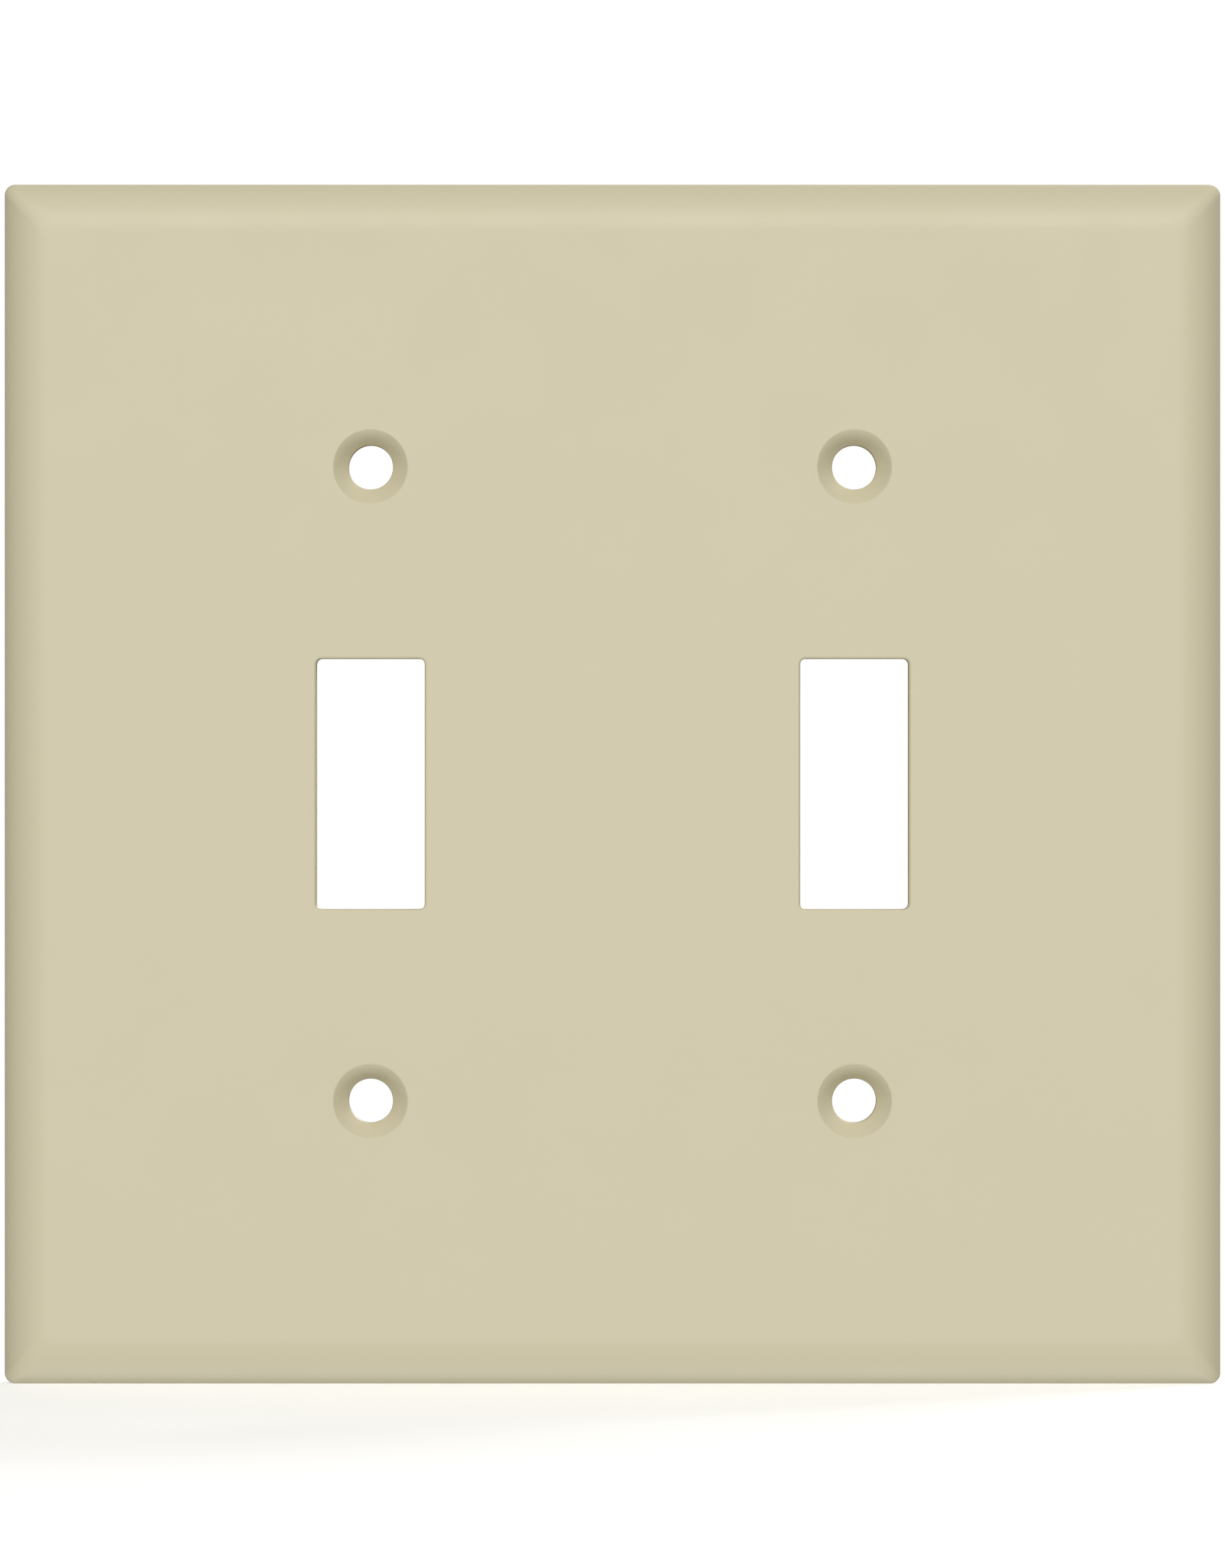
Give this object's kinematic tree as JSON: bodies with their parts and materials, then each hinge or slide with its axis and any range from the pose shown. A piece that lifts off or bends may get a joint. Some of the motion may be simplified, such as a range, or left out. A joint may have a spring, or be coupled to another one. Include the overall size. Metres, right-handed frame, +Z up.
{
  "type": "wall plate",
  "caption": "Ivory moulded cover plate for a pair of toggle switches, with toggle openings, countersunk screw holes, a rolled shoulder and a hollow ribbed back.",
  "frame": {"origin": "centre of the plane in which the plate's rim meets the wall", "axes": "+Z up, +X to the right as seen from the room, +Y into the wall; the face looks towards -Y"},
  "size_m": [0.116, 0.0056, 0.1142],
  "materials": {
    "ivory_thermoset": "gloss moulded face, satin back"
  },
  "bodies": {
    "root": {"wall_plate": "ivory_thermoset"}
  },
  "joints": []
}
